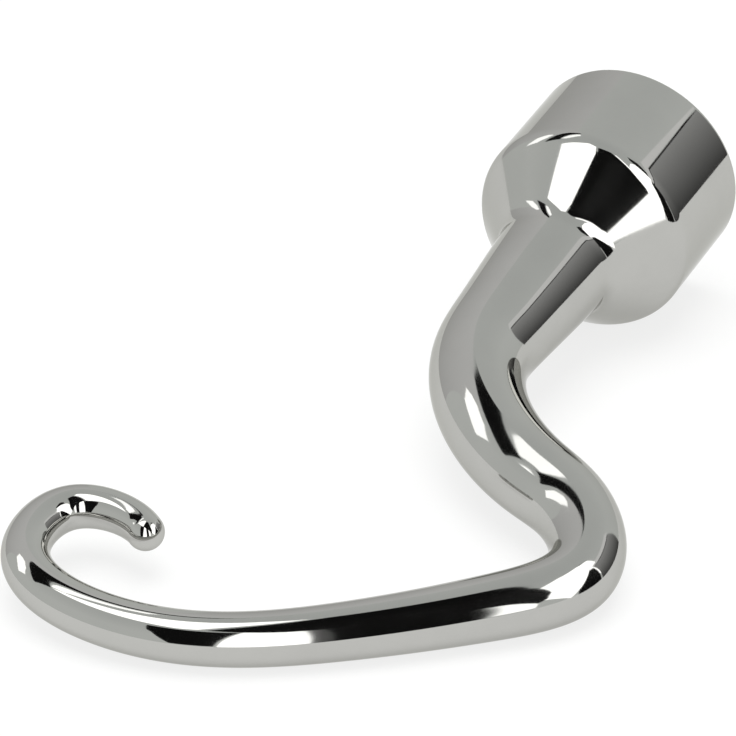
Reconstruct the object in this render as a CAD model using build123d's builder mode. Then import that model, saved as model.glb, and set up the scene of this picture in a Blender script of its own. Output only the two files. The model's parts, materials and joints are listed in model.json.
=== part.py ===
# Stand mixer dough hook: one polished steel casting, a drive collar with a tapering rod bent to a C.
# It is drawn with the drive axis on Z and its mouth up, then laid down the way it comes to rest.
import os
from math import cos, radians, sin, tan

from build123d import *

os.makedirs("parts", exist_ok=True)

# Collar, millimetres; heights are along the drive axis
collar_diameter = 36.0
collar_height = 20.4
collar_base = -0.45  # where wall and shoulder would meet without the round
collar_edge_radius = 4.0
mouth_edge_radius = 0.9
shoulder_angle = 41.0  # between the shoulder cone and the drive axis
neck_fillet = 5.5

# Drive socket for a half-inch shaft with a cross pin on one side
socket_diameter = 13.0
socket_depth = 26.0
socket_lead = 0.8
pin_slot_width = 5.2
pin_slot_reach = 11.4  # from the axis to the back of the slot
pin_slot_depth = 17.0
lock_height = 7.5
lock_turn = 45.0  # how far the pin turns to lock
lock_seat = 2.2  # how far the pin then drops back towards the mouth

# Rod centre line in the plane of the hook: distance out from the axis, height
root = (0.0, -5.7)
shank_end = (0.0, -30.2)
elbow = (0.3, -35.6)
brow = (20.5, -60.3)
shoulder = (27.9, -64.1)
heel = (36.5, -78.5)
waist = (28.2, -90.6)
bow = (11.2, -104.9)
sole = (-17.1, -117.3)
toe = (-39.3, -107.3)
curl = (-37.7, -97.2)
tip = (-24.9, -97.4)
tip_angle = -38.0  # direction in which the rod ends

# Rod thickness at those points
root_diameter = 20.1
shank_diameter = 18.35
shank_end_diameter = 16.45
brow_diameter = 13.2
heel_diameter = 10.9
bow_diameter = 8.55
sole_diameter = 7.8
toe_diameter = 7.25
curl_diameter = 6.75
tip_diameter = 5.75
tip_flank = 2.4  # slope of the rod's side where the round tip begins

collar_radius = collar_diameter / 2
socket_radius = socket_diameter / 2
tip_radius = tip_diameter / 2
shoulder_run = 1 / tan(radians(shoulder_angle))
neck_height = collar_base + (root_diameter / 2 - collar_radius) * shoulder_run


def at(point):
    return Vector(point[0], 0, point[1])


with BuildPart() as hook:
    # Collar and shoulder, turned about the drive axis
    core_radius = root_diameter / 3
    core_height = collar_base + (core_radius - collar_radius) * shoulder_run
    with BuildSketch(Plane.XZ) as profile:
        with BuildLine():
            Polyline(
                (0, core_height),
                (core_radius, core_height),
                (collar_radius, collar_base),
                (collar_radius, collar_height),
                (0, collar_height),
                close=True,
            )
        make_face()
        lower_end = profile.vertices().group_by(Axis.X)[-1].sort_by(Axis.Y)[0]
        fillet(lower_end, collar_edge_radius)
        upper_end = profile.vertices().group_by(Axis.X)[-1].sort_by(Axis.Y)[-1]
        fillet(upper_end, mouth_edge_radius)
    revolve(axis=Axis.Z)

    # Rod: round sections of falling size swept along the bent centre line
    with BuildLine() as centre:
        Line(at(root), at(shank_end))
        bends = (shank_end, elbow, brow, shoulder, heel, waist, bow, sole, toe, curl, tip)
        ends = (Vector(0, 0, -1), at((cos(radians(tip_angle)), sin(radians(tip_angle)))))
        Spline(*[at(point) for point in bends], tangents=ends, tangent_scalars=(1, 1))
    path = centre.wire()
    stations = (
        (root, root_diameter),
        ((0.0, (root[1] + shank_end[1]) / 2), shank_diameter),
        (shank_end, shank_end_diameter),
        (brow, brow_diameter),
        (heel, heel_diameter),
        (bow, bow_diameter),
        (sole, sole_diameter),
        (toe, toe_diameter),
        (curl, curl_diameter),
        (tip, tip_diameter),
    )
    for point, diameter in stations:
        heading = path.tangent_at(at(point))
        with BuildSketch(Plane(at(point), x_dir=(0, 1, 0), z_dir=heading)):
            Circle(diameter / 2)
    sweep(path=path, multisection=True)
    neck = hook.edges().filter_by_position(Axis.Z, neck_height * 1.3, neck_height * 0.8)
    fillet(neck, neck_fillet)

    # Round end, a cap that carries the slope of the rod's side over to its crown
    flank = radians(tip_flank)
    crown = tip_radius / cos(flank) - tip_radius * tan(flank)
    side = Vector(0, 1, 0).cross(heading)
    with BuildSketch(Plane(at(tip), x_dir=(0, 1, 0), z_dir=side)):
        with BuildLine():
            Line((0, 0), (tip_radius, 0))
            RadiusArc((tip_radius, 0), (0, crown), -tip_radius / cos(flank))
            Line((0, crown), (0, 0))
        make_face()
    revolve(axis=Axis(at(tip), heading))

    # Drive socket: a blind bore, an inlet for the pin, a turn below it and a seat that holds the pin
    mouth = Plane.XY.offset(collar_height)
    with BuildSketch(mouth):
        Circle(socket_radius)
    extrude(amount=-socket_depth, mode=Mode.SUBTRACT)
    with BuildSketch(mouth):
        Circle(socket_radius + socket_lead)
    extrude(amount=-socket_lead, taper=45, mode=Mode.SUBTRACT)
    slot_floor = mouth.offset(-pin_slot_depth)
    for turn, height in ((0, pin_slot_depth), (lock_turn, lock_height + lock_seat)):
        with BuildSketch(slot_floor.rotated((0, 0, turn))):
            with Locations((pin_slot_reach / 2, 0)):
                Rectangle(pin_slot_reach * 1.2, pin_slot_width)
            Circle(pin_slot_reach, mode=Mode.INTERSECT)
        extrude(amount=height, mode=Mode.SUBTRACT)
    with BuildSketch(Plane.XZ):
        with Locations((pin_slot_reach / 2, collar_height - pin_slot_depth + lock_height / 2)):
            Rectangle(pin_slot_reach, lock_height)
    revolve(axis=Axis.Z, revolution_arc=lock_turn, mode=Mode.SUBTRACT)

# Rest: of the ways to lie on one side, the one with the centre of mass lowest over the floor
heart = hook.part.center(CenterOf.MASS)
skin = [point - heart for point in hook.part.tessellate(0.05, 0.15)[0]]
skin = [(point.X, point.Y, point.Z) for point in skin if point.Y > 0]


def downward(pitch, roll):
    return sin(roll), cos(roll) * cos(pitch), -cos(roll) * sin(pitch)


def heart_height(pitch, roll):
    x, y, z = downward(pitch, roll)
    return max(x * p[0] + y * p[1] + z * p[2] for p in skin)


def lowest(height, span):
    low, high = -span, span
    while high - low > 0.0002:
        third = (high - low) / 3
        if height(low + third) < height(high - third):
            high -= third
        else:
            low += third
    return (low + high) / 2


def best_pitch(roll):
    return lowest(lambda pitch: heart_height(pitch, roll), 0.4)


rest_roll = lowest(lambda roll: heart_height(best_pitch(roll), roll), 0.4)
rest_pitch = best_pitch(rest_roll)
up = -Vector(*downward(rest_pitch, rest_roll))
lying = Plane((0, 0, 0), x_dir=Vector(0, 0, 1).cross(up), z_dir=up)
turned = lying.to_local_coords(hook.part)
box = turned.bounding_box()

with BuildPart() as dough_hook:
    with Locations((-box.center().X, -box.center().Y, -box.min.Z)):
        add(turned)
dough_hook.part.label = "dough_hook"
export_step(dough_hook.part, "parts/dough_hook.step")
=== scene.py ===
import json
import math

import bmesh
import bpy
import numpy as np
from mathutils import Matrix, Vector


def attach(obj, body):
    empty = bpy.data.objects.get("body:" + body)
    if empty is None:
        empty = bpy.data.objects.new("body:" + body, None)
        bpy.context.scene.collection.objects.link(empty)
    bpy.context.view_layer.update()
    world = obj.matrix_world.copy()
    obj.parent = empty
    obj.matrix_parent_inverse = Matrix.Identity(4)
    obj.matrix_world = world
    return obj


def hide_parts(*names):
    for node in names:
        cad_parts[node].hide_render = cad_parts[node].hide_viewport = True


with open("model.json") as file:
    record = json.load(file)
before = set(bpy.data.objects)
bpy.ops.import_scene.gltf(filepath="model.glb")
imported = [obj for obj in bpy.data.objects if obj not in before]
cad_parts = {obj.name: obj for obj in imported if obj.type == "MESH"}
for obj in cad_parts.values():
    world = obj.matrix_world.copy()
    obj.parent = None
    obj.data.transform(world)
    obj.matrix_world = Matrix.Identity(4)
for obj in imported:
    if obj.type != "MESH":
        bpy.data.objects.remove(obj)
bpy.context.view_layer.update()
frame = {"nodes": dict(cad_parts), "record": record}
mm = 0.001
print("frame loaded:", len(frame["nodes"]), "casting")


class Wire:  # a socket that can stand in a sum
    def __init__(self, tree, socket=None):
        self.tree = tree
        self.socket = socket

    def add(self, kind, settings={}, sockets={}, output=0):
        node = self.tree.nodes.new(kind)
        for name, value in settings.items():
            if name == "stops":  # a ramp's places and greys
                while len(node.color_ramp.elements) < len(value):
                    node.color_ramp.elements.new(0.5)
                for stop, (place, grey) in zip(node.color_ramp.elements, value):
                    stop.position = place
                    stop.color = (grey, grey, grey, 1)
            else:
                setattr(node, name, value)
        for name, value in sockets.items():
            if isinstance(value, Wire):
                self.tree.links.new(value.socket, node.inputs[name])
            else:
                node.inputs[name].default_value = value
        return Wire(self.tree, node.outputs[output] if len(node.outputs) else None)

    def out(self, name):  # another output of the same node
        return Wire(self.tree, self.socket.node.outputs[name])

    def maths(self, operation, first, second):
        return self.add("ShaderNodeMath", {"operation": operation}, {0: first, 1: second})

    def __add__(self, other):
        return self.maths("ADD", self, other)

    def __radd__(self, other):
        return self.maths("ADD", other, self)

    def __sub__(self, other):
        return self.maths("SUBTRACT", self, other)

    def __rsub__(self, other):
        return self.maths("SUBTRACT", other, self)

    def __mul__(self, other):
        return self.maths("MULTIPLY", self, other)

    def __rmul__(self, other):
        return self.maths("MULTIPLY", other, self)

    def __lt__(self, other):
        return self.maths("LESS_THAN", self, other)

    def __gt__(self, other):
        return self.maths("GREATER_THAN", self, other)


def emptyTree(owner):
    owner.use_nodes = True
    owner.node_tree.nodes.clear()
    return Wire(owner.node_tree)


# The hook in millimetres and degrees: drive axis on Z with the mouth up, rod in the plane of X and Z
hook = {
    "around": 96,  # points round a ring
    "ringGap": 0.7,  # between the rings of the bent rod
    "neckGap": 1.2,  # between those of the straight shank
    "flatGap": 2.0,  # between those of the collar's straight runs
    "endGap": 0.1,  # how close a ring stands to the ends of a straight run
    "capRings": 24,
    "arcStep": 4.0,
    "lipStep": 6.0,
    "slotStep": 3.0,
    "uvScale": 0.01,  # of the length along the hook
    "cornerAngle": 28.0,  # edges that turn more stay sharp
    "collarRadius": 18.0,
    "collarHeight": 20.4,
    "collarBase": -0.45,  # where wall and shoulder would meet without the round
    "collarEdge": 4.0,
    "mouthEdge": 0.9,
    "shoulderAngle": 41.0,
    "neckFillet": 5.5,
    "boreRadius": 6.5,
    "boreDepth": 26.0,
    "boreLead": 0.8,
    "slotWidth": 5.2,
    "slotReach": 11.4,
    "slotDepth": 17.0,
    "slotInner": -1.1,  # the slot's cutters begin just past the drive axis
    "slotRise": 2.0,  # and the first one ends above the mouth
    "lockHeight": 7.5,
    "lockTurn": 45.0,
    "lockSeat": 2.2,
    "lean": 3.823,  # how far the plane of the hook is turned about the drive axis at rest
    "rootHeight": -5.7,
    "rootThickness": 20.1,
    "shankHeight": -17.95,
    "shankThickness": 18.35,
    # out from the axis, height, thickness where it is set
    "bends": [
        (0.0, -30.2, 16.45),
        (0.3, -35.6, None),
        (20.5, -60.3, 13.2),
        (27.9, -64.1, None),
        (36.5, -78.5, 10.9),
        (28.2, -90.6, None),
        (11.2, -104.9, 8.55),
        (-17.1, -117.3, 7.8),
        (-39.3, -107.3, 7.25),
        (-37.7, -97.2, 6.75),
        (-24.9, -97.4, 5.75),
    ],
    "tipAngle": -38.0,
    "tipFlank": 2.4,
}


def knotSlopes(knots, values, first=None, last=None):
    # slopes of the smooth curve through the values; an end with no slope given is left free
    count = len(knots)
    gaps = np.diff(knots)
    rises = np.diff(values, axis=0) / gaps.reshape(-1, *[1] * (values.ndim - 1))
    system = np.zeros((count, count))
    right = np.zeros(values.shape)
    for i in range(1, count - 1):
        system[i, i - 1 : i + 2] = gaps[i], 2 * (gaps[i - 1] + gaps[i]), gaps[i - 1]
        right[i] = 3 * (gaps[i] * rises[i - 1] + gaps[i - 1] * rises[i])
    system[0, :2] = (1, 0) if first is not None else (2, 1)
    right[0] = first if first is not None else 3 * rises[0]
    system[-1, -2:] = (0, 1) if last is not None else (1, 2)
    right[-1] = last if last is not None else 3 * rises[-1]
    return np.linalg.solve(system, right)


def curveAt(knots, values, slopes, place):
    # point and slope of that curve
    i = min(max(int(np.searchsorted(knots, place)) - 1, 0), len(knots) - 2)
    gap = knots[i + 1] - knots[i]
    t = (place - knots[i]) / gap
    rise = (values[i + 1] - values[i]) / gap
    bendA = slopes[i] - rise
    bendB = rise - slopes[i + 1]
    point = values[i] + gap * (t * rise + t * (1 - t) * ((1 - t) * bendA + t * bendB))
    slope = rise + (1 - t) * (1 - 3 * t) * bendA + t * (2 - 3 * t) * bendB
    return point, slope


def arc(centre, radius, start, end, step):
    # points of an arc, angles in degrees
    count = max(2, math.ceil(abs(end - start) / step))
    angles = [math.radians(start + (end - start) * i / count) for i in range(count + 1)]
    return [(centre[0] + radius * math.cos(a), centre[1] + radius * math.sin(a)) for a in angles]


def run(start, end):
    # points between two ends, with one close to each end so that flat runs shade flat
    length = math.dist(start, end)
    near = hook["endGap"]
    count = max(2, round(length / hook["flatGap"]))
    places = np.linspace(near, length - near, count)
    return [tuple(np.array(start) + (np.array(end) - start) * p / length) for p in places]


def collarOutline():
    # radius and height from the bore floor up, over the mouth and down the collar to the shank
    top = hook["collarHeight"]
    wall = hook["collarRadius"]
    bore = hook["boreRadius"]
    lead = hook["boreLead"]
    edge = hook["collarEdge"]
    lip = hook["mouthEdge"]
    cone = math.radians(hook["shoulderAngle"])
    floor = top - hook["boreDepth"]
    points = [(bore, floor)]
    points += run((bore, floor), (bore, top - lead))
    points += [(bore, top - lead), (bore + lead, top)]
    points += run((bore + lead, top), (wall - lip, top))
    points += arc((wall - lip, top - lip), lip, 90, 0, hook["lipStep"])
    edgeHeight = hook["collarBase"] + edge * math.tan(cone / 2)
    points += run((wall, top - lip), (wall, edgeHeight))
    points += arc((wall - edge, edgeHeight), edge, 0, -hook["shoulderAngle"], hook["arcStep"])
    # the neck: a fillet that touches the shoulder and the side of the shank
    thinning = (hook["rootThickness"] - hook["shankThickness"]) / 2
    flare = math.atan(thinning / (hook["rootHeight"] - hook["shankHeight"]))
    normals = np.array([(math.cos(cone), -math.sin(cone)), (math.cos(flare), -math.sin(flare))])
    anchors = np.array([(wall, hook["collarBase"]), (hook["rootThickness"] / 2, hook["rootHeight"])])
    away = (normals * anchors).sum(axis=1) + hook["neckFillet"]
    centre = np.linalg.solve(normals, away)
    touch = centre - hook["neckFillet"] * normals[0]
    points += run(points[-1], tuple(touch))
    start = 180 - hook["shoulderAngle"]
    points += arc(centre, hook["neckFillet"], start, 180 - math.degrees(flare), hook["arcStep"])
    return points


def rodLine():
    # the bent rod's length, and what gives its centre and thickness at a place along it
    bends = np.array([bend[:2] for bend in hook["bends"]])
    knots = np.concatenate([[0], np.cumsum(np.linalg.norm(np.diff(bends, axis=0), axis=1))])
    tip = math.radians(hook["tipAngle"])
    slopes = knotSlopes(knots, bends, (0, -1), (math.cos(tip), math.sin(tip)))
    shankEnd = hook["bends"][0][1]
    stations = [shankEnd - hook["rootHeight"], shankEnd - hook["shankHeight"]]
    thickness = [hook["rootThickness"], hook["shankThickness"]]
    for knot, bend in zip(knots, hook["bends"]):
        if bend[2] is not None:
            stations.append(knot)
            thickness.append(bend[2])
    stations = np.array(stations)
    thickness = np.array(thickness)
    taper = knotSlopes(stations, thickness)

    def centreAt(place):
        return curveAt(knots, bends, slopes, place)

    def thicknessAt(place):
        return curveAt(stations, thickness, taper, place)[0]

    return knots[-1], centreAt, thicknessAt


def hookRings():
    # centre, heading and radius of every ring, from the bore floor to the tip
    length, centreAt, thicknessAt = rodLine()
    down = (0.0, -1.0)
    rings = [((0.0, height), down, radius) for radius, height in collarOutline()]
    shankEnd = hook["bends"][0][1]
    neckEnd = rings[-1][0][1]
    for height in np.linspace(neckEnd, shankEnd, round((neckEnd - shankEnd) / hook["neckGap"]))[1:-1]:
        rings.append(((0.0, height), down, thicknessAt(shankEnd - height) / 2))
    for place in np.linspace(0, length, round(length / hook["ringGap"])):
        point, slope = centreAt(place)
        rings.append((tuple(point), tuple(slope / np.linalg.norm(slope)), thicknessAt(place) / 2))
    # the round tip carries on the slope of the rod's side
    end, heading, radius = rings[-1]
    flank = math.radians(hook["tipFlank"])
    cap = radius / math.cos(flank)
    for angle in np.linspace(hook["tipFlank"], 90, hook["capRings"])[1:-1]:
        lift = cap * (math.sin(math.radians(angle)) - math.sin(flank))
        centre = (end[0] + heading[0] * lift, end[1] + heading[1] * lift)
        rings.append((centre, heading, cap * math.cos(math.radians(angle))))
    crown = cap * (1 - math.sin(flank))
    tipTop = (end[0] + heading[0] * crown, end[1] + heading[1] * crown)
    return rings, tipTop


def hookMesh(rings, tipTop):
    count = hook["around"]
    shape = bmesh.new()
    uvs = shape.loops.layers.uv.new("round_along")
    rows = []
    along = [0.0]
    for centre, heading, radius in rings:
        row = []
        for k in range(count):
            turn = 2 * math.pi * k / count
            reach = radius * math.cos(turn)
            row.append(shape.verts.new((centre[0] - heading[1] * reach, radius * math.sin(turn),
                                        centre[1] + heading[0] * reach)))
        if rows:
            along.append(along[-1] + (row[0].co - rows[-1][0].co).length)
        rows.append(row)
    for i in range(len(rows) - 1):
        for k in range(count):
            nextK = (k + 1) % count
            face = shape.faces.new((rows[i][k], rows[i][nextK], rows[i + 1][nextK], rows[i + 1][k]))
            corners = [(k, i), (k + 1, i), (k + 1, i + 1), (k, i + 1)]
            for loop, (around, level) in zip(face.loops, corners):
                loop[uvs].uv = (around / count, along[level] * hook["uvScale"])
    floorMiddle = shape.verts.new((0, 0, rings[0][0][1]))
    crown = shape.verts.new((tipTop[0], 0, tipTop[1]))
    for k in range(count):
        nextK = (k + 1) % count
        shape.faces.new((rows[0][nextK], rows[0][k], floorMiddle))
        shape.faces.new((rows[-1][k], rows[-1][nextK], crown))
    bmesh.ops.recalc_face_normals(shape, faces=shape.faces)
    mesh = bpy.data.meshes.new("dough_hook_skin")
    shape.to_mesh(mesh)
    shape.free()
    return mesh


def slotCutter(outline, low, high):
    # an upright block over an outline in the plane of the mouth
    shape = bmesh.new()
    floor = [shape.verts.new((x, y, low)) for x, y in outline]
    roof = [shape.verts.new((x, y, high)) for x, y in outline]
    shape.faces.new(floor)
    shape.faces.new(roof)
    for i in range(len(outline)):
        j = (i + 1) % len(outline)
        shape.faces.new((floor[i], floor[j], roof[j], roof[i]))
    bmesh.ops.recalc_face_normals(shape, faces=shape.faces)
    mesh = bpy.data.meshes.new("slot_cutter")
    shape.to_mesh(mesh)
    shape.free()
    cutter = bpy.data.objects.new("slot_cutter", mesh)
    bpy.context.collection.objects.link(cutter)
    return cutter


def slotOutline(turn):
    # the way a cross pin takes, out from the axis at that turn
    half = hook["slotWidth"] / 2
    reach = hook["slotReach"]
    inner = hook["slotInner"]
    side = math.degrees(math.asin(half / reach))
    ends = arc((0, 0), reach, turn - side, turn + side, hook["slotStep"])
    back = math.radians(turn)
    corners = []
    for across in (half, -half):
        corners.append((inner * math.cos(back) - across * math.sin(back),
                        inner * math.sin(back) + across * math.cos(back)))
    return ends + corners


def cutSlot(piece):
    # the pin's inlet, its turn below and the seat that holds it
    mouth = hook["collarHeight"]
    floor = mouth - hook["slotDepth"]
    roof = floor + hook["lockHeight"]
    turnOutline = [(0, 0)] + arc((0, 0), hook["slotReach"], 0, hook["lockTurn"], hook["slotStep"])
    cutters = [
        slotCutter(slotOutline(0), floor, mouth + hook["slotRise"]),
        slotCutter(turnOutline, floor, roof),
        slotCutter(slotOutline(hook["lockTurn"]), floor, roof + hook["lockSeat"]),
    ]
    for cutter in cutters:
        cut = piece.modifiers.new("pin_slot", "BOOLEAN")
        cut.object = cutter
        cut.operation = "DIFFERENCE"
        cut.solver = "EXACT"
    seen = piece.evaluated_get(bpy.context.evaluated_depsgraph_get())
    mesh = bpy.data.meshes.new_from_object(seen)
    piece.modifiers.clear()
    piece.data = mesh
    for cutter in cutters:
        bpy.data.objects.remove(cutter)


def layDown(piece):
    # from the drawing's axes to the way the hook lies: the socket of the record gives the drive axis
    socket = frame["record"]["mounts"][0]
    axis = Vector(socket["axis"])
    level = Vector((1, 0, 0))
    lean = math.radians(hook["lean"])
    outward = level * math.cos(lean) + axis.cross(level) * math.sin(lean)
    aside = axis.cross(outward)
    middle = hook["collarHeight"] - hook["boreDepth"] / 2  # the socket's place is half way down the bore
    start = Vector(socket["pos_m"]) - axis * middle * mm
    place = Matrix((outward * mm, aside * mm, axis * mm)).transposed().to_4x4()
    place.translation = start
    piece.data.transform(place)
    return start, axis


def softenSkin(piece):
    # smooth everywhere but at true corners
    shape = bmesh.new()
    shape.from_mesh(piece.data)
    for face in shape.faces:
        face.smooth = True
    for edge in shape.edges:
        edge.smooth = edge.calc_face_angle(0) < math.radians(hook["cornerAngle"])
    shape.to_mesh(piece.data)
    shape.free()


steel = {
    "colour": (0.485, 0.483, 0.463),
    "shade": (0.455, 0.453, 0.435),  # where the polish is thinner
    "boreColour": (0.36, 0.355, 0.345),
    "rimTint": (0.72, 0.72, 0.70),  # how much of the glancing reflection is left
    "roughness": 0.035,
    "hazeRoughness": 0.05,
    "hazeScale": 38.0,
    "hazeStops": [(0.42, 0), (0.72, 1)],
    "waveScale": 70.0,  # slow waviness left by the polishing wheel
    "waveHeight": 0.000012,
    "boreRoughness": 0.34,
    "boreHeight": 0.00003,
    "boreLines": 9000.0,  # tool marks down the bore, radians for each metre
    "boreReach": 12.2,  # mm from the drive axis, just past the pin slot
    "boreUnder": 0.5,  # mm, takes in the bore floor
    "mouthClear": 0.05,  # mm, leaves out the face of the mouth
}


def polishedSteel(start, axis):
    material = bpy.data.materials.new("polished_steel")
    tree = emptyTree(material)
    coords = tree.add("ShaderNodeTexCoord", output="Object")
    wheel = tree.add("ShaderNodeTexNoise", {}, {
        "Vector": coords, "Scale": steel["waveScale"], "Detail": 1.0})
    haze = tree.add("ShaderNodeTexNoise", {}, {
        "Vector": coords, "Scale": steel["hazeScale"], "Detail": 5.0, "Roughness": 0.62})
    hazy = tree.add("ShaderNodeValToRGB", {"stops": steel["hazeStops"]}, {"Fac": haze})
    # distance from the drive axis and along it, for the unpolished socket
    offset = tree.add("ShaderNodeVectorMath", {"operation": "SUBTRACT"}, {0: coords, 1: start})
    height = tree.add("ShaderNodeVectorMath", {"operation": "DOT_PRODUCT"}, {0: offset, 1: axis}, "Value")
    spun = tree.add("ShaderNodeVectorMath", {"operation": "CROSS_PRODUCT"}, {0: offset, 1: axis})
    radial = tree.add("ShaderNodeVectorMath", {"operation": "LENGTH"}, {0: spun}, "Value")
    low = (hook["collarHeight"] - hook["boreDepth"] - steel["boreUnder"]) * mm
    high = (hook["collarHeight"] - steel["mouthClear"]) * mm
    inside = (radial < steel["boreReach"] * mm) * (height > low) * (height < high)
    turned = tree.add("ShaderNodeMath", {"operation": "SINE"}, {0: height * steel["boreLines"]})
    relief = wheel * (1 - inside) * steel["waveHeight"] + turned * inside * steel["boreHeight"]
    bump = tree.add("ShaderNodeBump", {}, {"Height": relief, "Strength": 1.0, "Distance": 1.0})
    skin = tree.add("ShaderNodeMix", {"data_type": "RGBA"}, {
        0: hazy, 6: (*steel["colour"], 1), 7: (*steel["shade"], 1)}, 2)
    colour = tree.add("ShaderNodeMix", {"data_type": "RGBA"}, {
        0: inside, 6: skin, 7: (*steel["boreColour"], 1)}, 2)
    roughness = steel["roughness"] + hazy * steel["hazeRoughness"] + inside * steel["boreRoughness"]
    shader = tree.add("ShaderNodeBsdfPrincipled", {}, {
        "Base Color": colour, "Metallic": 1.0, "Roughness": roughness, "Normal": bump,
        "Specular Tint": (*steel["rimTint"], 1)})
    tree.add("ShaderNodeOutputMaterial", {}, {"Surface": shader})
    return material


rings, tipTop = hookRings()
hookPiece = bpy.data.objects.new("dough_hook_polished", hookMesh(rings, tipTop))
bpy.context.collection.objects.link(hookPiece)
cutSlot(hookPiece)
axisStart, driveAxis = layDown(hookPiece)
softenSkin(hookPiece)
hookPiece.data.materials.clear()
hookPiece.data.materials.append(polishedSteel(axisStart, driveAxis))
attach(hookPiece, "root")
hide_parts("dough_hook")
print("hook made:", len(rings), "rings,", len(hookPiece.data.polygons), "faces")


def toward(azimuth, elevation):
    # direction out from the object, azimuth 0 on the -Y side
    a = math.radians(azimuth)
    e = math.radians(elevation)
    return Vector((math.sin(a) * math.cos(e), -math.cos(a) * math.cos(e), math.sin(e)))


view = {
    "lens": 230.49,
    "sensor": 36.0,
    "aim": (-0.0252, 0.0239, -0.0012),
    "azimuth": 28.573,
    "elevation": 29.24,
    "roll": -1.449,
    "distance": 0.754,
    "nearest": 0.01,
    "farthest": 50.0,
}


def makeCamera():
    lens = bpy.data.cameras.new("photo_camera")
    lens.lens = view["lens"]
    lens.sensor_width = view["sensor"]
    lens.clip_start = view["nearest"]
    lens.clip_end = view["farthest"]
    camera = bpy.data.objects.new("photo_camera", lens)
    back = toward(view["azimuth"], view["elevation"])
    turn = (-back).to_track_quat("-Z", "Y").to_matrix().to_4x4()
    camera.matrix_world = (Matrix.Translation(Vector(view["aim"]) + back * view["distance"]) @ turn
                           @ Matrix.Rotation(math.radians(view["roll"]), 4, "Z"))
    bpy.context.collection.objects.link(camera)
    bpy.context.scene.camera = camera


makeCamera()
bpy.context.scene.view_settings.view_transform = "Standard"
print("camera set")


# Plain table and plain light
studio = {
    "tableSide": 9.0,
    "tableColour": (0.86, 0.86, 0.85),
    "tableWhite": 0.76,  # share of the table that shows plain white
    "cardLift": 0.0005,  # cards end this far above the table
    "wallColour": (0.785, 0.805, 0.79),
    "roofColour": (0.66, 0.68, 0.67),
    "roofStops": [(0.45, 0), (1.0, 1)],  # from the walls' colour to the roof's
    "topLampPower": 30.0,
    "topLampSide": 1.6,
    "topLampHeight": 2.0,
}

# places from which a group of cards is laid out
spots = {
    "table": (0.0, 0.0, 0.0),
    "shoulder": (0.006, 0.042, 0.020),
    "collar": (0.012, 0.055, 0.018),
}

# The plain dark and light cards that the polish mirrors. Corners are azimuth and elevation from the spot;
# reach is the distance, measured along the table for a standing card; tone is the light a card sends,
# or its foot's and its top's
cards = {
    # the far end of the room, seen all along the lower run
    "front_flag": {"tone": 0.008, "spot": "table", "reach": 3.0, "corners": [
        (-19, 58), (-10, 41), (-2, 25), (2, 14), (2, 2), (16, 2), (20, 58)]},
    "front_window": {"tone": 2.6, "spot": "table", "reach": 3.0, "corners": [
        (17, 0.5), (37, 0.5), (36, 59), (21, 59)]},
    "post_edge": {"tone": 0.13, "spot": "table", "reach": 3.0, "corners": [
        (37, 0.5), (39.5, 0.5), (38.5, 62), (36, 62)]},
    "post": {"tone": 0.008, "spot": "table", "reach": 3.0, "corners": [
        (39.5, 0.5), (51, 0.5), (52, 62), (56, 76), (40, 78), (38.5, 62)]},
    "side_window": {"tone": 2.4, "spot": "table", "reach": 3.0, "corners": [
        (51.5, 2), (60, 2), (62, 25), (59, 45), (60, 60), (67, 72), (58, 72), (53, 60)]},
    # the left side of the room, seen in the S-bend
    "left_wall": {"tone": (0.66, 0.80), "spot": "table", "reach": 3.2, "corners": [
        (-150, 0.5), (-97, 0.5), (-97, 48), (-150, 48)]},
    "beam": {"tone": 0.008, "spot": "table", "reach": 3.0, "corners": [
        (-146, 50.4), (-131, 50.5), (-115, 51), (-96, 49), (-78, 45), (-70, 38), (-68, 38), (-73, 53),
        (-92, 57.5), (-117, 58.5), (-137, 56), (-146, 53.5)]},
    "left_window": {"tone": 2.2, "spot": "table", "reach": 3.0, "corners": [
        (-112, 44), (-106, 38), (-95, 34), (-84, 28), (-78, 22), (-75, 32), (-88, 43), (-103, 47)]},
    "left_roof": {"tone": 2.2, "spot": "table", "reach": 3.0, "corners": [
        (-140, 58), (-120, 60), (-95, 59), (-78, 55), (-80, 60), (-100, 65), (-132, 64)]},
    # the right side of the room, seen by the heel
    "right_flag": {"tone": 0.02, "spot": "table", "reach": 3.0, "corners": [
        (92, 16), (104, 16), (106, 40), (117, 42), (128, 50), (128, 61), (112, 61), (97, 46)]},
    "right_window": {"tone": 2.4, "spot": "table", "reach": 3.0, "corners": [
        (105, 10), (129, 14), (129, 34), (118, 40), (106, 38)]},
    # panels round the table, seen in the shoulder
    "shoulder_window": {"tone": 2.6, "spot": "shoulder", "reach": 0.30, "corners": [
        (-50, 40), (-49, 78), (-12, 78), (-3, 46), (-8, 44)]},
    "shoulder_flag": {"tone": 0.008, "spot": "shoulder", "reach": 0.30, "corners": [
        (-2, 78), (0, 45), (20, 37), (38, 28), (50, 8), (57, 18), (50, 42), (45, 78)]},
    "shoulder_side": {"tone": 2.6, "spot": "shoulder", "reach": 0.30, "corners": [
        (51, 14), (66, -16), (76, 10), (92, 34), (106, 38), (106, 56), (90, 60), (66, 56), (52, 44)]},
    # the dark panel on the right, seen in the collar wall and the shank
    "panel": {"tone": (0.07, 0.42), "spot": "collar", "reach": 0.30, "standing": True, "corners": [
        (100, -6), (147, -6), (147, 33), (100, 33)]},
    "panel_end": {"tone": 0.008, "spot": "collar", "reach": 0.30, "standing": True, "corners": [
        (70, -14), (98, -14), (98, 34), (70, 34)]},
    "panel_seam": {"tone": 0.01, "spot": "collar", "reach": 0.30, "standing": True, "corners": [
        (100, 33), (147, 33), (147, 34.3), (100, 34.3)]},
    "panel_rim": {"tone": 0.95, "spot": "collar", "reach": 0.30, "standing": True, "corners": [
        (100, 34.3), (149, 34.3), (149, 41), (100, 41)]},
}


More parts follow.
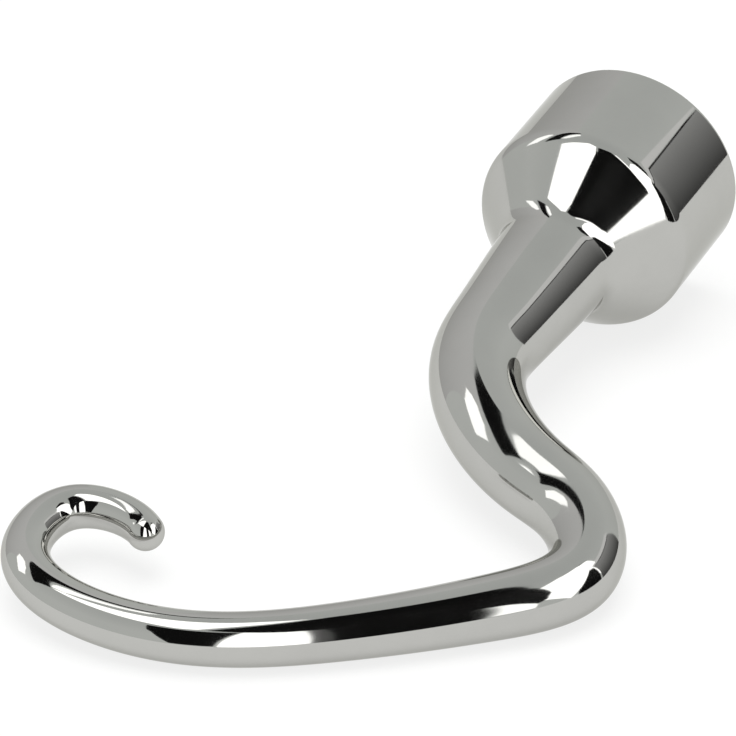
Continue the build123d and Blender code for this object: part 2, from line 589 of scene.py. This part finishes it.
def tableMaterial():
    material = bpy.data.materials.new("table_white")
    tree = emptyTree(material)
    light = tree.add("ShaderNodeLightPath", output="Is Camera Ray")
    seen = light + light.out("Is Glossy Ray") + light.out("Is Transmission Ray")
    seen = tree.add("ShaderNodeClamp", {}, {"Value": seen})
    matt = tree.add("ShaderNodeBsdfDiffuse", {}, {"Color": (*studio["tableColour"], 1)})
    white = tree.add("ShaderNodeEmission", {}, {"Color": (1, 1, 1, 1), "Strength": 1.0})
    mixed = tree.add("ShaderNodeMixShader", {}, {0: seen * studio["tableWhite"], 1: matt, 2: white})
    tree.add("ShaderNodeOutputMaterial", {}, {"Surface": mixed})
    return material


def cardMaterial(name, tone):
    material = bpy.data.materials.new(name)
    tree = emptyTree(material)
    if isinstance(tone, tuple):
        foot, top = tone
        place = tree.add("ShaderNodeTexCoord", output="Generated")
        rise = tree.add("ShaderNodeSeparateXYZ", {}, {0: place}, "Z")
        grey = tree.add("ShaderNodeMix", {"data_type": "RGBA"}, {
            0: rise, 6: (foot, foot, foot, 1), 7: (top, top, top, 1)}, 2)
    else:
        grey = (tone, tone, tone, 1)
    glow = tree.add("ShaderNodeEmission", {}, {"Color": grey, "Strength": 1.0})
    tree.add("ShaderNodeOutputMaterial", {}, {"Surface": glow})
    return material


def makeTable():
    half = studio["tableSide"] / 2
    corners = [(-half, -half, 0), (half, -half, 0), (half, half, 0), (-half, half, 0)]
    mesh = bpy.data.meshes.new("table")
    mesh.from_pydata(corners, [], [(0, 1, 2, 3)])
    table = bpy.data.objects.new("table", mesh)
    bpy.context.collection.objects.link(table)
    mesh.materials.append(tableMaterial())


def cardCorner(card, azimuth, elevation):
    reach = card["reach"]
    if card.get("standing"):
        reach = reach / math.cos(math.radians(elevation))
    corner = Vector(spots[card["spot"]]) + toward(azimuth, elevation) * reach
    corner.z = max(corner.z, studio["cardLift"])
    return corner


def makeCards():
    # only reflections show them: no camera, no light on the table, no shadow
    for name, card in cards.items():
        corners = [tuple(cardCorner(card, *corner)) for corner in card["corners"]]
        fan = [(0, i, i + 1) for i in range(1, len(corners) - 1)]
        mesh = bpy.data.meshes.new(name)
        mesh.from_pydata(corners, [], fan)
        piece = bpy.data.objects.new(name, mesh)
        bpy.context.collection.objects.link(piece)
        mesh.materials.append(cardMaterial(name, card["tone"]))
        piece.visible_camera = False
        piece.visible_diffuse = False
        piece.visible_shadow = False


def makeWorld():
    world = bpy.data.worlds.new("studio")
    bpy.context.scene.world = world
    tree = emptyTree(world)
    place = tree.add("ShaderNodeTexCoord", output="Generated")
    rise = tree.add("ShaderNodeSeparateXYZ", {}, {0: place}, "Z")
    blend = tree.add("ShaderNodeValToRGB", {"stops": studio["roofStops"]}, {"Fac": rise})
    colour = tree.add("ShaderNodeMix", {"data_type": "RGBA"}, {
        0: blend, 6: (*studio["wallColour"], 1), 7: (*studio["roofColour"], 1)}, 2)
    shine = tree.add("ShaderNodeBackground", {}, {"Color": colour, "Strength": 1.0})
    tree.add("ShaderNodeOutputWorld", {}, {"Surface": shine})


def makeTopLamp():
    lamp = bpy.data.lights.new("top_lamp", "AREA")
    lamp.energy = studio["topLampPower"]
    lamp.size = studio["topLampSide"]
    holder = bpy.data.objects.new("top_lamp", lamp)
    holder.location = (0, 0, studio["topLampHeight"])
    holder.visible_camera = False
    holder.visible_glossy = False
    bpy.context.collection.objects.link(holder)


makeTable()
makeCards()
makeWorld()
makeTopLamp()
print("studio made:", len(cards), "cards")
